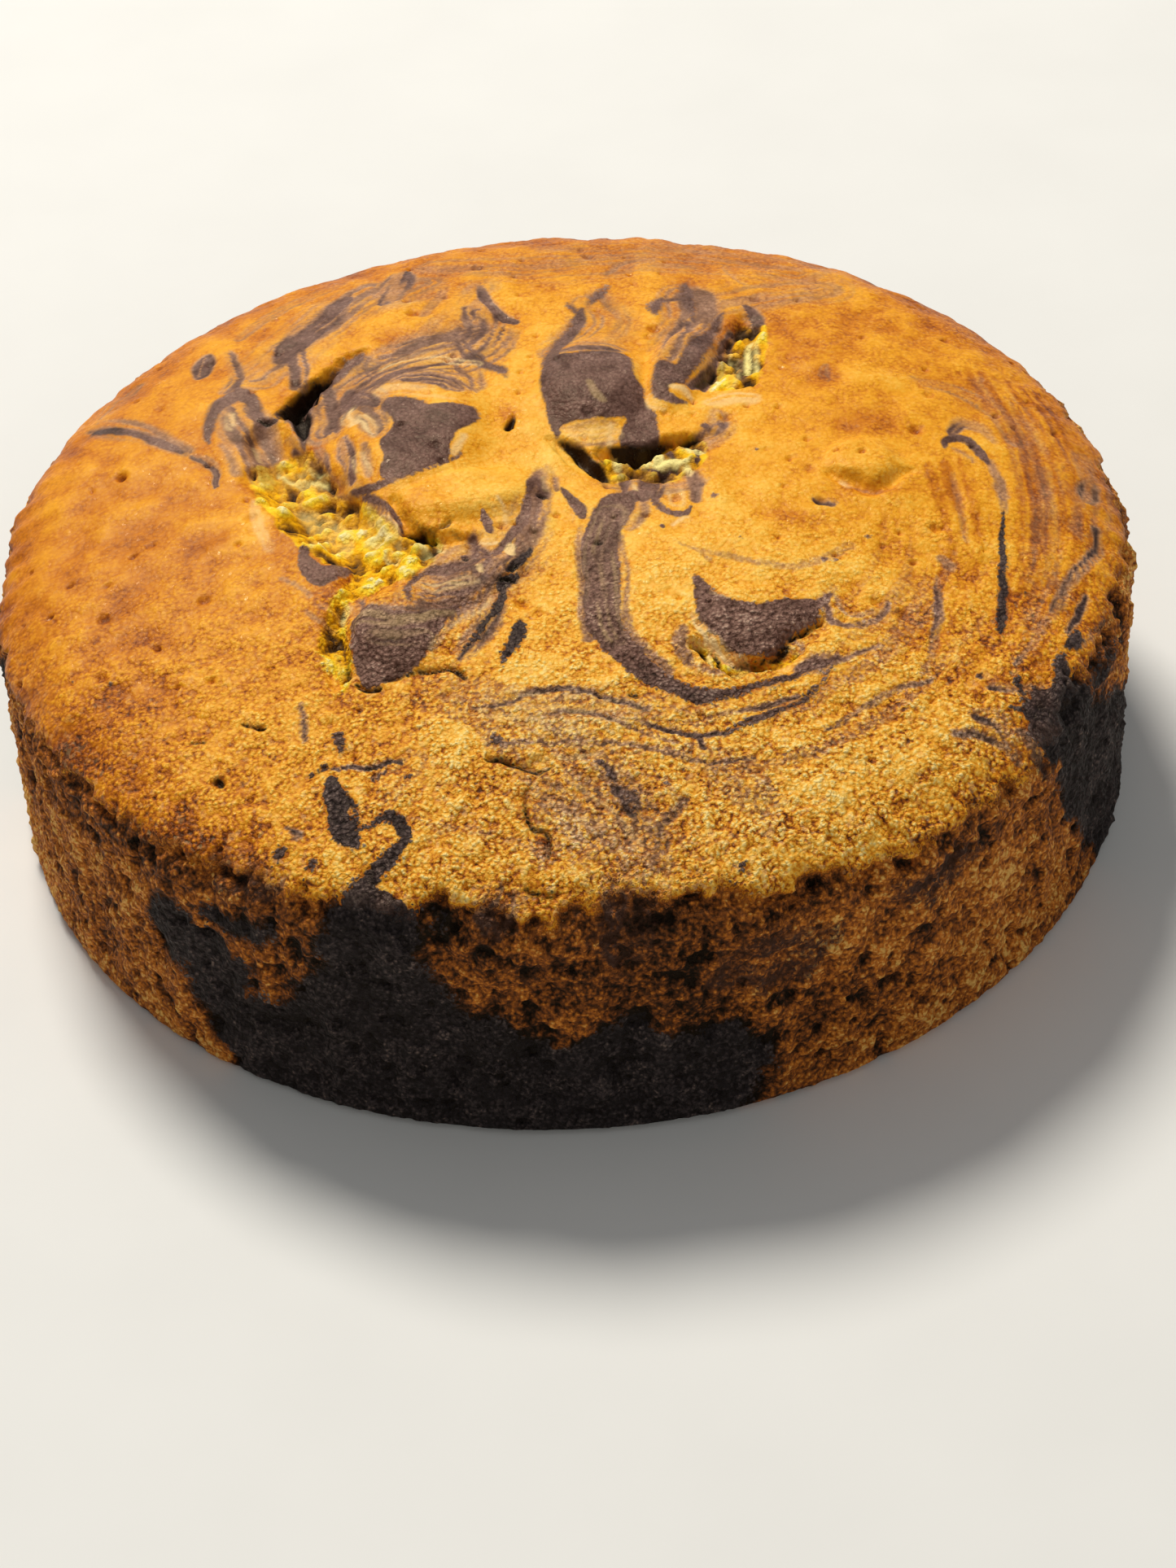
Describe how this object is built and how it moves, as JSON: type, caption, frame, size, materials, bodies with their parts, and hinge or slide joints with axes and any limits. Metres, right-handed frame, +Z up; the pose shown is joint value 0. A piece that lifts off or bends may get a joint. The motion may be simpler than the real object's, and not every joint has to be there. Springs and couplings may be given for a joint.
{
  "type": "round marble cake",
  "caption": "Whole round marble sponge cake with straight sides and a domed, cracked top swirled with chocolate.",
  "frame": {"origin": "centre of the flat base, on the surface the cake stands on", "axes": "+Z up through the dome, +Y to the back of the cake as it is seen, +X to its right"},
  "size_m": [0.2318, 0.2317, 0.0715],
  "materials": {
    "cake": "matte golden brown crust with chocolate swirls"
  },
  "bodies": {
    "root": {"cake": "cake"}
  },
  "joints": []
}
